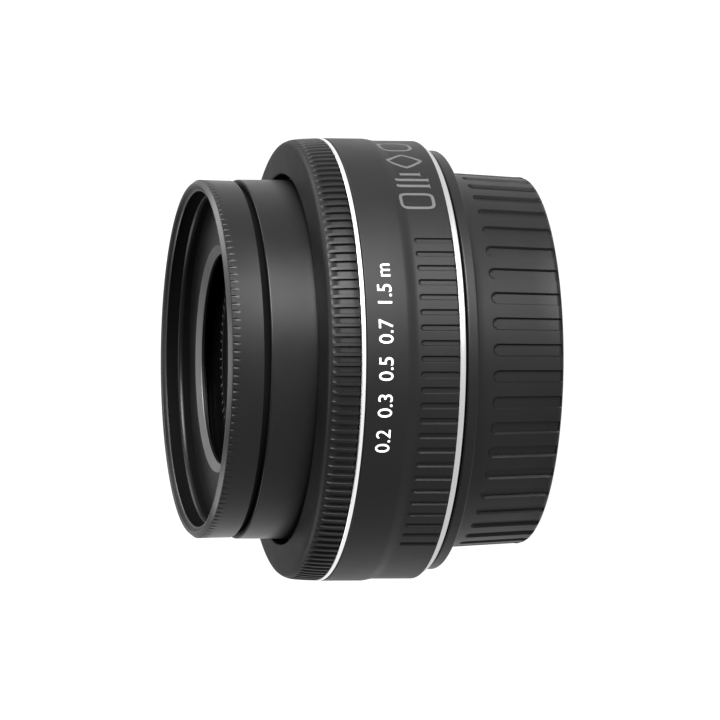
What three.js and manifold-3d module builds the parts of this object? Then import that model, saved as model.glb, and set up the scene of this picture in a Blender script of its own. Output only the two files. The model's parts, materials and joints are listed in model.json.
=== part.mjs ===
// Autofocus prime lens for an SLR camera, with a screw-in hood and a rear cap.
// Millimetres. +Z is the optical axis towards the front; the origin is the centre of the
// rear cap's outer face, which the lens stands on. The lens is drawn fully extended.
// Heights in this file start FOOT above that face, and add() lifts each piece by FOOT.
import * as THREE from 'three';
import Module from 'manifold-3d';
import { mergeVertices } from 'three/addons/utils/BufferGeometryUtils.js';

const wasm = await Module();
wasm.setup();

// ---------------------------------------------------------------- driving dimensions
const SHELL_SIDES = 48;            // facets round an outer shell
const TUBE_SIDES = 36;             // facets round a hidden tube
const CELL_SIDES = 28;             // facets round a lens cell
const GLASS_SIDES = 20;            // facets round a lens element
const PIN_SIDES = 10;              // facets round a small pin or hole
const CLEARANCE = 0.15;            // running gap of a small pin in its hole

const FOOT = 0.25;
const BARREL_RADIUS = 34.1;        // widest radius of the fixed barrel
const GRIP_RADIUS = 33.8;          // fixed barrel behind the step
const PLATE_RADIUS = 33;
const MOVING_RADIUS = 27.6;        // moving barrel
const COVER_BORE = 32.3;
const CAP_DEPTH = 15.7;            // rear cap, from its outer face to its open edge
const FLANGE_Z = 16.15;            // mount flange face
const PLATE_TOP = 17.1;
const COVER_TOP = 31.7;
const TRIM_TOP = 32.4;
const RING_BASE = 32.5;            // focus ring
const RING_TOP = 37.95;
const BARREL_FRONT = 44.9;         // front edge of the moving barrel, extended
const HOOD_FRONT = 51.4;

const TRAVEL = 6.5;                // focusing extension
const CAM_SWEEP = 70;              // degrees the cam ring turns over the travel
const ROLLER_Z = 33.0;
const ROLLER_RADIUS = 1.2;
const ROLLER_ANGLES = [30, 150, 270];
const SLOT_HALF = 1.3;             // half width of the cam and guide slots

const TOOTH_MODULE = 0.5;
const CAM_TEETH = 112;
const IDLER_TEETH = 18;
const PINION_TEETH = 14;
const IDLER_ANGLE = 200;
const GEAR_BASE = 18.8;
const GEAR_FACE = 1.5;

const BLADES = 7;
const IRIS_TURN = 26;              // degrees the iris ring turns from open to closed
const BLADE_SWING = 30;            // degrees each blade swings meanwhile
const BLADE_PIVOT = 9.2;
const BLADE_LEVER = 1.5;           // pivot to drive pin
const BLADE_PITCH = 0.2;           // height of one blade level
const IRIS_MODULE = 0.3;
const IRIS_TEETH = 74;
const IRIS_PINION_TEETH = 12;
const IRIS_MOTOR_ANGLE = 40;

const SCREW_ANGLES = [45, 135, 225, 315];
const SCREW_RADIUS = 29.3;
const CELL_SCREW_ANGLES = [90, 210, 330];
const CELL_SCREW_RADIUS = 16.8;
const SWITCH_ANGLE = 90;
const SWITCH_TRAVEL = 5;           // degrees
const INDEX_ANGLE = 120;

// ---------------------------------------------------------------- finishes
const finish = (color, roughness, metalness = 0) => (
  new THREE.MeshStandardMaterial({ color, roughness, metalness })
);
const BLACK = finish(0x2a2a2b, 0.55);
const SATIN_BLACK = finish(0x303132, 0.4, 0.3);
const CAP_BLACK = finish(0x1f1f20, 0.6);
const SILVER = finish(0xd8d9da, 0.25, 1);
const STEEL = finish(0xa9abad, 0.35, 1);
const BRASS = finish(0xc2a15a, 0.35, 1);
const NYLON = finish(0xe6e4dc, 0.5);
const BOARD = finish(0x1d5a35, 0.5);
const GLASS = finish(0x9fb4b2, 0.05);
const WHITE = finish(0xf0f0ee, 0.5);

// ---------------------------------------------------------------- geometry helpers
const radians = (degrees) => degrees * Math.PI / 180;
const polar = (radius, degrees) => (
  new THREE.Vector2(radius * Math.cos(radians(degrees)), radius * Math.sin(radians(degrees)))
);

// A closed profile of [radius, height] points, given anticlockwise, turned about Z.
function turned(profile, sides = SHELL_SIDES) {
  const points = profile.map(([r, z]) => new THREE.Vector2(r, z));
  const onAxis = profile[0][0] === 0;
  if (!onAxis) points.push(points[0].clone());
  return new THREE.LatheGeometry(points, sides).rotateX(Math.PI / 2);
}

const tube = (inner, outer, low, high, sides) => (
  turned([[inner, low], [outer, low], [outer, high], [inner, high]], sides)
);

const rod = (radius, low, high, sides = PIN_SIDES) => (
  turned([[0, low], [radius, low], [radius, high], [0, high]], sides)
);

function extruded(shape, low, high, curveSegments = 8) {
  const options = { depth: high - low, bevelEnabled: false, curveSegments };
  return new THREE.ExtrudeGeometry(shape, options).translate(0, 0, low);
}

const arcPoints = (radius, from, to, step = 6) => {
  const count = Math.max(1, Math.ceil(Math.abs(to - from) / step));
  return Array.from({ length: count + 1 }, (_, i) => polar(radius, from + (to - from) * i / count));
};

// A plate that fills part of a ring, between two angles in degrees.
const sector = (inner, outer, from, to, low, high, step = 6) => extruded(
  new THREE.Shape([...arcPoints(outer, from, to, step), ...arcPoints(inner, to, from, step)]),
  low, high,
);

// Move a piece drawn on the Z axis to a place on a circle.
const onCircle = (geometry, radius, degrees) => {
  const place = polar(radius, degrees);
  return geometry.translate(place.x, place.y, 0);
};

// Turn a piece drawn along +Z so that it points outwards, at a height on the barrel.
const radial = (geometry, degrees, height) => (
  geometry.rotateY(Math.PI / 2).rotateZ(radians(degrees)).translate(0, 0, height)
);

function toManifold(geometry) {
  const plain = new THREE.BufferGeometry();
  plain.setAttribute('position', geometry.getAttribute('position').clone());
  if (geometry.index) plain.setIndex(geometry.index.clone());
  const merged = mergeVertices(plain, 1e-5);
  const triangles = [];
  for (let i = 0; i < merged.index.count; i += 3) {
    const [a, b, c] = [0, 1, 2].map((k) => merged.index.getX(i + k));
    if (a !== b && b !== c && c !== a) triangles.push(a, b, c);
  }
  return new wasm.Manifold(new wasm.Mesh({
    numProp: 3,
    vertProperties: new Float32Array(merged.getAttribute('position').array),
    triVerts: new Uint32Array(triangles),
  }));
}

function toGeometry(manifold) {
  const mesh = manifold.getMesh();
  const geometry = new THREE.BufferGeometry();
  geometry.setAttribute('position', new THREE.BufferAttribute(mesh.vertProperties, 3));
  geometry.setIndex(new THREE.BufferAttribute(mesh.triVerts, 1));
  geometry.computeVertexNormals();
  return geometry;
}

const joined = (base, ...pieces) => (
  toGeometry(pieces.reduce((sum, piece) => sum.add(toManifold(piece)), toManifold(base)))
);
const cut = (base, ...tools) => (
  toGeometry(tools.reduce((rest, tool) => rest.subtract(toManifold(tool)), toManifold(base)))
);

// ---------------------------------------------------------------- gear teeth
const PRESSURE = radians(20);
const ADDENDUM = 0.8;              // in modules: stub teeth, which small pinions need
const DEDENDUM = 1.1;
const BACKLASH = 0.06;             // taken off each gear's tooth at the pitch circle
const involute = (angle) => Math.tan(angle) - angle;

// Half the angle that a tooth takes up at a radius, in degrees.
function halfTooth(radius, pitchRadius, teeth, thinning) {
  const baseRadius = pitchRadius * Math.cos(PRESSURE);
  const angle = radius > baseRadius ? Math.acos(baseRadius / radius) : 0;
  const half = Math.PI / (2 * teeth) + involute(PRESSURE) - involute(angle);
  return THREE.MathUtils.radToDeg(half - thinning / (2 * pitchRadius));
}

// One tooth's outline, anticlockwise, from the root on one side to the root on the other.
function toothPoints(teeth, toothModule, centre, internal = false) {
  const pitchRadius = teeth * toothModule / 2;
  const outward = (internal ? DEDENDUM : ADDENDUM) * toothModule;
  const inward = (internal ? ADDENDUM : DEDENDUM) * toothModule;
  const thinning = internal ? -BACKLASH : BACKLASH;
  const baseRadius = pitchRadius * Math.cos(PRESSURE);
  const radii = [pitchRadius - inward, pitchRadius, pitchRadius + outward];
  if (radii[0] < baseRadius) radii.splice(1, 0, baseRadius);
  const at = (r, side) => polar(r, centre + side * halfTooth(r, pitchRadius, teeth, thinning));
  return [...radii.map((r) => at(r, -1)), ...radii.reverse().map((r) => at(r, 1))];
}

function gear(teeth, toothModule, phase, bore, low, high) {
  const outline = [];
  for (let k = 0; k < teeth; k += 1) {
    outline.push(...toothPoints(teeth, toothModule, phase + k * 360 / teeth));
  }
  const shape = new THREE.Shape(outline);
  if (bore) shape.holes.push(new THREE.Path(arcPoints(bore, 0, 360 - 30, 30)));
  return extruded(shape, low, high);
}

// ---------------------------------------------------------------- assembly
const lens = new THREE.Group();
function add(name, geometry, material) {
  const mesh = new THREE.Mesh(geometry.translate(0, 0, FOOT), material);
  mesh.name = name;
  lens.add(mesh);
}

// ---------------------------------------------------------------- rear cap
// Its three lugs sit in the gaps between the mount's lugs, so it lifts straight off.
const CAP_FLOOR = 1.8;
const CAP_BORE = 27.3;
const capLug = (centre) => sector(25.8, CAP_BORE + 0.3, centre - 25, centre + 25, 12.5, 14.3, 5);
add('rear_cap', joined(
  turned([
    [0, -FOOT], [27.6, -FOOT], [28.33, 0.45], [29.1, 13.85], [32.35, 13.85],
    [32.35, CAP_DEPTH], [CAP_BORE, CAP_DEPTH], [CAP_BORE, CAP_FLOOR], [0, CAP_FLOOR],
  ]),
  capLug(0), capLug(120), capLug(240),
), CAP_BLACK);

// ---------------------------------------------------------------- bayonet mount
const THROAT = 24;
const mountLug = (centre) => sector(25, 27, centre - 27, centre + 27, 10.7, 12.1, 6);
const screwHoles = (radius, low, high) => (
  SCREW_ANGLES.map((angle) => onCircle(rod(radius, low, high), SCREW_RADIUS, angle))
);
add('mount_plate', cut(
  joined(
    turned([
      [THROAT, 10.7], [25.3, 10.7], [25.3, FLANGE_Z], [PLATE_RADIUS, FLANGE_Z],
      [PLATE_RADIUS, PLATE_TOP], [THROAT, PLATE_TOP],
    ]),
    mountLug(60), mountLug(180), mountLug(300),
  ),
  ...screwHoles(0.95, 15, 18), ...screwHoles(1.6, 15, 16.9),
), SILVER);

SCREW_ANGLES.forEach((angle, i) => add(`mount_screw_${i + 1}`, onCircle(turned([
  [0, 16.2], [1.4, 16.2], [1.4, 16.75], [0.75, 16.75], [0.75, 18.3], [0, 18.3],
], PIN_SIDES), SCREW_RADIUS, angle), STEEL));

add('mount_shim', cut(
  tube(27.2, 31, 17.15, 17.35, 24), ...screwHoles(0.95, 17, 18),
), STEEL);
add('rear_baffle', turned([
  [14.6, 13.2], [23.6, 13.2], [23.6, 15.6], [22.9, 15.6], [22.9, 14], [14.6, 14],
], CELL_SIDES), BLACK);

const CONTACT_ARC = 30;            // half the arc of the contact block, in degrees
const CONTACTS = 8;
const CONTACT_CENTRE = 270;
const contactAngle = (k) => CONTACT_CENTRE + (k - (CONTACTS - 1) / 2) * 7;
add('contact_block', sector(
  20.6, 23.6, CONTACT_CENTRE - CONTACT_ARC, CONTACT_CENTRE + CONTACT_ARC, 11, 13,
), BLACK);
add('contact_strip', joined(
  sector(21.3, 22.9, CONTACT_CENTRE - 27, CONTACT_CENTRE + 27, 10.8, 10.95),
  ...Array.from({ length: CONTACTS }, (_, k) => (
    onCircle(rod(0.6, 10.5, 10.85, 6), 22.1, contactAngle(k))
  )),
), BRASS);

// ---------------------------------------------------------------- fixed barrel
const SWITCH_Z = 27.6;
const switchSlot = sector(
  31, 36, SWITCH_ANGLE - 5.9, SWITCH_ANGLE + 5.9, SWITCH_Z - 1.5, SWITCH_Z + 1.5,
);
const indexHole = radial(rod(0.95, 32.7, 35), INDEX_ANGLE, 18.6);
add('barrel_cover', cut(
  turned([
    [COVER_BORE, 17.15], [GRIP_RADIUS - 0.1, 17.15], [GRIP_RADIUS, 17.25], [GRIP_RADIUS, 23.4],
    [BARREL_RADIUS, 25.5], [BARREL_RADIUS, COVER_TOP], [COVER_BORE, COVER_TOP],
  ]),
  switchSlot, indexHole,
), BLACK);
add('mount_index', radial(rod(0.8, 32.85, 33.75), INDEX_ANGLE, 18.6), WHITE);
add('trim_ring', tube(COVER_BORE, BARREL_RADIUS, 31.75, TRIM_TOP), SILVER);

const SLOT_LOW = ROLLER_Z - TRAVEL;
const guideSlot = (angle) => {
  const length = TRAVEL + 2 * SLOT_HALF;
  const box = new THREE.BoxGeometry(6, 2 * SLOT_HALF, length);
  return box.translate(31, 0, (SLOT_LOW + ROLLER_Z) / 2).rotateZ(radians(angle));
};
const SENSOR_ANGLE = 330;
const SENSOR_Z = 31.4;
const sensorBox = (thick, wide, high) => (
  new THREE.BoxGeometry(thick, wide, high).translate(30.8, 0, SENSOR_Z).rotateZ(radians(SENSOR_ANGLE))
);
add('guide_tube', cut(
  turned([
    [27.2, 17.4], [31.2, 17.4], [31.2, 35.8], [30, 35.8], [30, 18.5], [27.2, 18.5],
  ], TUBE_SIDES),
  ...ROLLER_ANGLES.map(guideSlot), ...screwHoles(0.95, 17, 19), sensorBox(4, 3.6, 2.8),
), BLACK);
add('photo_reflector', sensorBox(1.2, 3, 2.2), CAP_BLACK);

// ---------------------------------------------------------------- focus ring
add('focus_ring', turned([
  [32.05, RING_BASE], [BARREL_RADIUS - 0.05, RING_BASE], [33.9, 35.4], [33.75, 36.35],
  [33.4, 37], [32.75, 37.4], [28.5, RING_TOP], [28.5, 36.4], [32.5, 36.2], [32.5, 34.8], [31.5, 34.8], [31.5, 34.2],
  [32.05, 34.2],
]), BLACK);
const ENCODER_BARS = 8;            // each bar cuts two opposite notches
add('encoder_ring', cut(
  tube(31.6, 31.9, 30.4, 34.1, TUBE_SIDES),
  ...Array.from({ length: ENCODER_BARS }, (_, k) => (
    new THREE.BoxGeometry(70, 2.6, 3).translate(0, 0, 30.5)
      .rotateZ(radians(4 + k * 180 / ENCODER_BARS))
  )),
), STEEL);
add('focus_retainer', tube(31.3, 32.2, 34.95, 35.8, TUBE_SIDES), STEEL);

// ---------------------------------------------------------------- mode switch
const KNOB_CENTRE = SWITCH_ANGLE - SWITCH_TRAVEL / 2;
add('mode_switch', joined(
  sector(31.5, 32.05, KNOB_CENTRE - 9, KNOB_CENTRE + 9, 25.1, 30.1, 3),
  sector(31.8, 33.95, KNOB_CENTRE - 2.8, KNOB_CENTRE + 2.8, SWITCH_Z - 1.3, SWITCH_Z + 1.3),
), BLACK);

// ---------------------------------------------------------------- cam ring and gear train
// A cam slot falls by the travel over the sweep: a row of flat bars with a round end each side.
const CAM_RADIUS = 29.1;
const CAM_STEPS = 7;
const CAM_STEP_RUN = CAM_RADIUS * radians(CAM_SWEEP / CAM_STEPS);
const CAM_STEP_FALL = TRAVEL / CAM_STEPS;
function camSlot(angle) {
  const bar = (k) => (
    new THREE.BoxGeometry(4, Math.hypot(CAM_STEP_RUN, CAM_STEP_FALL) + 0.3, 2 * SLOT_HALF)
      .rotateX(-Math.atan2(CAM_STEP_FALL, CAM_STEP_RUN)).translate(CAM_RADIUS, 0, 0)
      .rotateZ(radians(angle + CAM_SWEEP * (k + 0.5) / CAM_STEPS))
      .translate(0, 0, ROLLER_Z - CAM_STEP_FALL * (k + 0.5))
  );
  const end = (share) => (
    radial(rod(SLOT_HALF, 27, 31), angle + CAM_SWEEP * share, ROLLER_Z - TRAVEL * share)
  );
  return [...Array.from({ length: CAM_STEPS }, (_, k) => bar(k)), end(0), end(1)];
}

const toothPitch = 360 / CAM_TEETH;
function toothSector(first, last) {
  const inner = [];
  for (let k = first; k <= last; k += 1) {
    inner.push(...toothPoints(CAM_TEETH, TOOTH_MODULE, IDLER_ANGLE + k * toothPitch, true));
  }
  const from = IDLER_ANGLE + (first - 0.5) * toothPitch;
  const to = IDLER_ANGLE + (last + 0.5) * toothPitch;
  const tipRadius = CAM_TEETH * TOOTH_MODULE / 2 - ADDENDUM * TOOTH_MODULE;
  const outline = [polar(tipRadius, from), ...inner, polar(tipRadius, to)];
  return extruded(new THREE.Shape([...outline, ...arcPoints(29, to, from)]),
    GEAR_BASE, GEAR_BASE + GEAR_FACE);
}
add('cam_ring', cut(
  joined(tube(28.65, 29.6, GEAR_BASE, 35.2, TUBE_SIDES), toothSector(-2, 23)),
  ...ROLLER_ANGLES.flatMap(camSlot),
), BRASS);

const PITCH_CAM = CAM_TEETH * TOOTH_MODULE / 2;
const PITCH_IDLER = IDLER_TEETH * TOOTH_MODULE / 2;
const PITCH_PINION = PINION_TEETH * TOOTH_MODULE / 2;
const IDLER_RADIUS = PITCH_CAM - PITCH_IDLER;
const PINION_RADIUS = 22;
const centreDistance = PITCH_IDLER + PITCH_PINION;
const PINION_ANGLE = IDLER_ANGLE + THREE.MathUtils.radToDeg(Math.acos(
  (IDLER_RADIUS ** 2 + PINION_RADIUS ** 2 - centreDistance ** 2)
  / (2 * IDLER_RADIUS * PINION_RADIUS),
));
const idlerCentre = polar(IDLER_RADIUS, IDLER_ANGLE);
const pinionCentre = polar(PINION_RADIUS, PINION_ANGLE);
const lineOfCentres = THREE.MathUtils.radToDeg(pinionCentre.clone().sub(idlerCentre).angle());
const idlerPitch = 360 / IDLER_TEETH;
const idlerOffset = ((IDLER_ANGLE - lineOfCentres) % idlerPitch + idlerPitch) % idlerPitch;
const pinionPhase = lineOfCentres + 180 - idlerOffset * IDLER_TEETH / PINION_TEETH
  + 180 / PINION_TEETH;

add('idler_gear', onCircle(
  gear(IDLER_TEETH, TOOTH_MODULE, IDLER_ANGLE, 0.7 + CLEARANCE, GEAR_BASE, GEAR_BASE + GEAR_FACE),
  IDLER_RADIUS, IDLER_ANGLE,
), NYLON);
add('idler_axle', onCircle(turned([
  [0, 18.3], [1.3, 18.3], [1.3, 18.6], [0.7, 18.6], [0.7, 21.1], [0, 21.1],
], PIN_SIDES), IDLER_RADIUS, IDLER_ANGLE), STEEL);
add('motor_pinion', onCircle(joined(
  gear(PINION_TEETH, TOOTH_MODULE, pinionPhase, 0, GEAR_BASE, GEAR_BASE + GEAR_FACE),
  rod(0.5, GEAR_BASE + GEAR_FACE - 0.2, 24),
), PINION_RADIUS, PINION_ANGLE), BRASS);
add('gear_plate', cut(
  joined(
    sector(19, 26.2, 181, 239, 20.6, 21.2),
    onCircle(rod(0.8, 17.3, 20.8), 25.2, 183.5), onCircle(rod(0.8, 17.3, 20.8), 25.2, 236),
  ),
  onCircle(rod(0.85, 20, 22), IDLER_RADIUS, IDLER_ANGLE),
  onCircle(rod(0.9, 20, 22), PINION_RADIUS, PINION_ANGLE),
), STEEL);
add('focus_motor', onCircle(turned([
  [0, 24.6], [0.65, 24.6], [0.65, 21.4], [2.2, 21.4], [2.2, 21.9], [3, 21.9], [3, 27],
  [2.7, 27.3], [0, 27.3],
], 16), PINION_RADIUS, PINION_ANGLE), STEEL);

// ---------------------------------------------------------------- main board
const chip = (radius, degrees, wide, deep) => onCircle(
  new THREE.BoxGeometry(wide, deep, 1).translate(0, 0, 18.7).rotateZ(radians(degrees)),
  radius, degrees,
);
add('main_board', joined(
  sector(15.2, 26.6, -110, 150, 17.5, 18.3, 8),
  chip(20.8, 20, 7, 7), chip(20.8, 90, 5, 7), chip(20.8, -60, 4, 5),
), BOARD);

// ---------------------------------------------------------------- moving barrel
const FILTER_BORE = 26.6;
const WEB_LOW = 38.2;
const WEB_TOP = 39.6;
const cellScrewHoles = (low, high) => (
  CELL_SCREW_ANGLES.map((angle) => onCircle(rod(0.75, low, high), CELL_SCREW_RADIUS, angle))
);
add('inner_barrel', cut(
  turned([
    [FILTER_BORE, 27], [MOVING_RADIUS, 27], [MOVING_RADIUS, BARREL_FRONT - 0.15],
    [MOVING_RADIUS - 0.15, BARREL_FRONT], [FILTER_BORE, BARREL_FRONT], [FILTER_BORE, WEB_TOP],
    [15.4, WEB_TOP], [15.4, WEB_LOW], [FILTER_BORE, WEB_LOW],
  ]),
  ...ROLLER_ANGLES.map((angle) => radial(rod(0.75, 25, 29), angle, ROLLER_Z)),
  ...cellScrewHoles(WEB_LOW - 1, WEB_TOP + 1),
), SATIN_BLACK);
ROLLER_ANGLES.forEach((angle, i) => add(`cam_roller_${i + 1}`, radial(turned([
  [0, 26.4], [0.6, 26.4], [0.6, 28.1], [ROLLER_RADIUS, 28.1], [ROLLER_RADIUS, 31], [0, 31],
], PIN_SIDES), angle, ROLLER_Z), NYLON));
add('name_ring', turned([
  [9.8, 43], [26.2, 43], [26.2, 44.2], [23.5, 44.2], [22.5, 43.95], [10.4, 43.95], [9.8, 43.5],
], 40), SATIN_BLACK);

// ---------------------------------------------------------------- lens cells
add('front_cell', cut(turned([
  [6.9, 36.35], [13.6, 36.35], [13.6, 39.9], [18, 39.9], [18, 41], [13, 41], [13, 42.7],
  [10.7, 42.7], [10.7, 37.85], [7.8, 37.85], [7.8, 36.75], [6.9, 36.75],
], CELL_SIDES), ...cellScrewHoles(39, 42)), BLACK);
CELL_SCREW_ANGLES.forEach((angle, i) => add(`cell_screw_${i + 1}`, onCircle(turned([
  [0, 38.4], [0.6, 38.4], [0.6, 41.1], [1.2, 41.1], [1.2, 41.7], [0, 41.7],
], PIN_SIDES), CELL_SCREW_RADIUS, angle), STEEL));
add('front_retainer', tube(9.7, 10.6, 41.2, 42.7, CELL_SIDES), BLACK);

const irisMotorHole = onCircle(rod(2.3, 30, 34, 16), 12.9, IRIS_MOTOR_ANGLE);
add('rear_cell', cut(turned([
  [10.6, 19.6], [12.6, 19.6], [12.6, 26.8], [9.9, 27.2], [9.9, 32.3], [18.2, 32.3],
  [18.2, 37.9], [17, 37.9], [17, 32.9], [7.4, 32.9], [7.4, 27.55], [6.7, 27.55],
  [6.7, 27.1], [8.75, 27.1], [8.75, 24.3], [10.6, 24.3],
], CELL_SIDES), irisMotorHole), BLACK);
add('lens_spacer', turned([
  [9.3, 22.95], [10.4, 22.8], [10.4, 24.15], [8.55, 24.15], [8.55, 26], [7.9, 26], [7.9, 24.2],
], CELL_SIDES), BLACK);
add('rear_retainer', tube(9.4, 10.4, 19.8, 21.3, CELL_SIDES), BLACK);

// ---------------------------------------------------------------- lens elements
// A surface is a sphere's cap: positive curvature bulges to the front. Each element is
// given by its radius and its two surfaces as [vertex height, radius of curvature].
function surface(vertex, curvature, edge, steps = 3) {
  return Array.from({ length: steps + 1 }, (_, i) => {
    const r = edge * i / steps;
    const sag = Math.abs(curvature) - Math.sqrt(curvature ** 2 - r ** 2);
    return [r, vertex - Math.sign(curvature) * sag];
  });
}
function element(radius, rear, front, rearEdge = radius) {
  const rearSurface = surface(...rear, rearEdge);
  if (rearEdge < radius) rearSurface.push([radius, rearSurface.at(-1)[1]]);
  return turned([...rearSurface, ...surface(...front, radius).reverse()], GLASS_SIDES);
}
add('lens_element_1', element(10.5, [41.4, 11], [42.6, 30], 8), GLASS);
add('lens_element_2', element(7.6, [36.3, -40], [39.2, 22]), GLASS);
add('lens_element_3', element(7.2, [30.2, 16], [31.2, -20]), GLASS);
add('lens_element_4', element(7.2, [26.8, -25], [30.1, 16]), GLASS);
add('lens_element_5', element(8.6, [24.5, -20], [25.65, -30]), GLASS);
add('lens_element_6', element(10.4, [20.6, -60], [23.9, 40]), GLASS);

// ---------------------------------------------------------------- iris diaphragm
const IRIS_Z = 33;
const BLADE_LOW = 33.6;
const IRIS_RING_Z = 35.05;
const pinionPitch = IRIS_PINION_TEETH * IRIS_MODULE / 2;
const irisMotorRadius = IRIS_TEETH * IRIS_MODULE / 2 + pinionPitch;
const bladeAngles = Array.from({ length: BLADES }, (_, k) => k * 360 / BLADES);
add('iris_base', cut(
  tube(5.9, 10.5, IRIS_Z, IRIS_Z + 0.5, CELL_SIDES),
  ...bladeAngles.map((angle) => onCircle(rod(0.47, 32, 35, 8), BLADE_PIVOT, angle)),
), BLACK);
add('iris_cover', tube(6.1, 16.6, 35.65, 36.05, CELL_SIDES), BLACK);

// A blade is a crescent with a tab that holds its pivot pin and, beside it, its drive pin.
const drivePin = (swing) => new THREE.Vector2(
  BLADE_PIVOT + BLADE_LEVER * Math.sin(radians(swing)), -BLADE_LEVER * Math.cos(radians(swing)),
);
function blade(k) {
  const low = BLADE_LOW + k * BLADE_PITCH;
  const high = low + 0.14;
  const tab = [
    polar(8.75, -13), polar(9.8, -12.5), polar(10, 0), polar(9.7, 4), polar(8.75, 7),
  ];
  const crescent = new THREE.Shape([
    polar(6.1, -8), polar(6.8, -13), ...tab,
    ...arcPoints(8.75, 14, 98, 10.5), polar(8, 104), polar(6.6, 104), ...arcPoints(6.1, 99, 0, 12),
  ]);
  const pivot = rod(0.35, 33.15, low + 0.05, 8).translate(BLADE_PIVOT, 0, 0);
  const pin = drivePin(0);
  const drive = rod(0.3, high - 0.05, 35.55, 8).translate(pin.x, pin.y, 0);
  return joined(extruded(crescent, low, high), pivot, drive).rotateZ(radians(bladeAngles[k]));
}
bladeAngles.forEach((_, k) => add(`iris_blade_${k + 1}`, blade(k), SATIN_BLACK));

// The ring's slot is the drive pin's path, seen from the turning ring.
function irisSlot(angle) {
  const steps = 5;
  const half = 0.39;
  const path = Array.from({ length: steps + 1 }, (_, i) => (
    drivePin(BLADE_SWING * i / steps)
      .rotateAround(new THREE.Vector2(), radians(angle - IRIS_TURN * i / steps))
  ));
  const along = (i) => path[Math.min(i + 1, steps)].clone()
    .sub(path[Math.max(i - 1, 0)]).normalize();
  const side = (i, sign) => {
    const way = along(i);
    return path[i].clone().add(new THREE.Vector2(-way.y, way.x).multiplyScalar(sign * half));
  };
  const cap = (i, sign) => path[i].clone().add(along(i).multiplyScalar(sign * half * 1.1));
  const left = path.map((_, i) => side(i, 1));
  const right = path.map((_, i) => side(i, -1)).reverse();
  return new THREE.Path([...left, cap(steps, 1), ...right, cap(0, -1)]);
}
const irisTooth = 360 / IRIS_TEETH;
const irisRoot = IRIS_TEETH * IRIS_MODULE / 2 - DEDENDUM * IRIS_MODULE;
function irisRing() {
  const [first, last] = [-8, 2];
  const teeth = [];
  for (let k = first; k <= last; k += 1) {
    teeth.push(...toothPoints(IRIS_TEETH, IRIS_MODULE, IRIS_MOTOR_ANGLE + k * irisTooth));
  }
  const from = IRIS_MOTOR_ANGLE + (last + 0.5) * irisTooth;
  const to = IRIS_MOTOR_ANGLE + 360 + (first - 0.5) * irisTooth;
  const shape = new THREE.Shape([...teeth, ...arcPoints(irisRoot, from, to, 8)]);
  shape.holes.push(new THREE.Path(arcPoints(6.1, 0, 350, 10)), ...bladeAngles.map(irisSlot));
  return extruded(shape, IRIS_RING_Z, IRIS_RING_Z + 0.4);
}
add('iris_ring', irisRing(), STEEL);
add('iris_pinion', onCircle(joined(
  gear(IRIS_PINION_TEETH, IRIS_MODULE, IRIS_MOTOR_ANGLE + 180 + 180 / IRIS_PINION_TEETH, 0,
    IRIS_RING_Z, IRIS_RING_Z + 0.45),
  rod(0.4, 32.2, IRIS_RING_Z + 0.2),
), irisMotorRadius, IRIS_MOTOR_ANGLE), BRASS);
add('iris_motor', onCircle(turned([
  [0, 27.6], [2, 27.6], [2, 34.6], [0.55, 34.6], [0.55, 31.8], [0, 31.8],
], 16), irisMotorRadius, IRIS_MOTOR_ANGLE), STEEL);

// ---------------------------------------------------------------- hood
// A dish that screws into the filter thread, with a wide round opening in its floor.
add('hood', turned([
  [25.2, 44.4], [26.2, 44.4], [26.2, 45.85], [27.45, 45.85], [27.55, 51.05],
  [27.1, HOOD_FRONT], [26.35, HOOD_FRONT], [25.9, 50.95], [25.1, 47.35],
  [17.4, 47.7], [16.2, 47], [16.2, 46.55], [17, 46.4], [25.2, 46.25],
]), SATIN_BLACK);

export default lens;
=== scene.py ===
"""Looks for the prime camera lens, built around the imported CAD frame. Lengths are in millimetres
until a mesh is made. Heights run along the optical axis and start FOOT above the rear cap's outer
face, and settle() lifts each finished piece by FOOT, so that the lens stands on the floor."""
import json
import math

import bmesh
import bpy
from mathutils import Matrix, Vector


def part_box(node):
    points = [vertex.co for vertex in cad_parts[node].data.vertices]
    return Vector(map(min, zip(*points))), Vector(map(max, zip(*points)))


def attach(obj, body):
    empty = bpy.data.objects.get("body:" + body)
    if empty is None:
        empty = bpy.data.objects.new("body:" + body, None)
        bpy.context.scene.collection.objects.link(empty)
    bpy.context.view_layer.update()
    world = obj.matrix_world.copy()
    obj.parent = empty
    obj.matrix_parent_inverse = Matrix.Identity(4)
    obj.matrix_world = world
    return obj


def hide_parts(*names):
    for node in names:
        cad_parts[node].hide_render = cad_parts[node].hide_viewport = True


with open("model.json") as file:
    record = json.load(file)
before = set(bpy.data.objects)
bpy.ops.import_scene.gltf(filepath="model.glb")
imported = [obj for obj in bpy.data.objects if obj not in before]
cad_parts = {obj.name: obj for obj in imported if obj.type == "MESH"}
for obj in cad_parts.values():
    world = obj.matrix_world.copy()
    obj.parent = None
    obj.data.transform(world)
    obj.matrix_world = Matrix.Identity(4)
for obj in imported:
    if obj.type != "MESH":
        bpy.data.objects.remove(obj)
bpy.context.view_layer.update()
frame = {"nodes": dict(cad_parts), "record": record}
MM = 0.001
FOOT = 0.25


# ---------------------------------------------------------------- sizes taken from the frame
def low(node):
    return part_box(node)[0].z / MM - FOOT


def high(node):
    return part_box(node)[1].z / MM - FOOT


def radius(node):
    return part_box(node)[1].x / MM


BARREL_RADIUS = radius("barrel_cover")
CAP_FRONT = high("rear_cap")
FLANGE_Z = CAP_FRONT + 0.45
PLATE_TOP = high("mount_plate")
COVER_LOW, COVER_TOP = low("barrel_cover"), high("barrel_cover")
TRIM_LOW, TRIM_TOP = low("trim_ring"), high("trim_ring")
RING_LOW = low("focus_ring")
BARREL_FRONT = high("inner_barrel")
HOOD_LOW, HOOD_TOP = low("hood"), high("hood")
NAME_TOP = high("name_ring")


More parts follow.
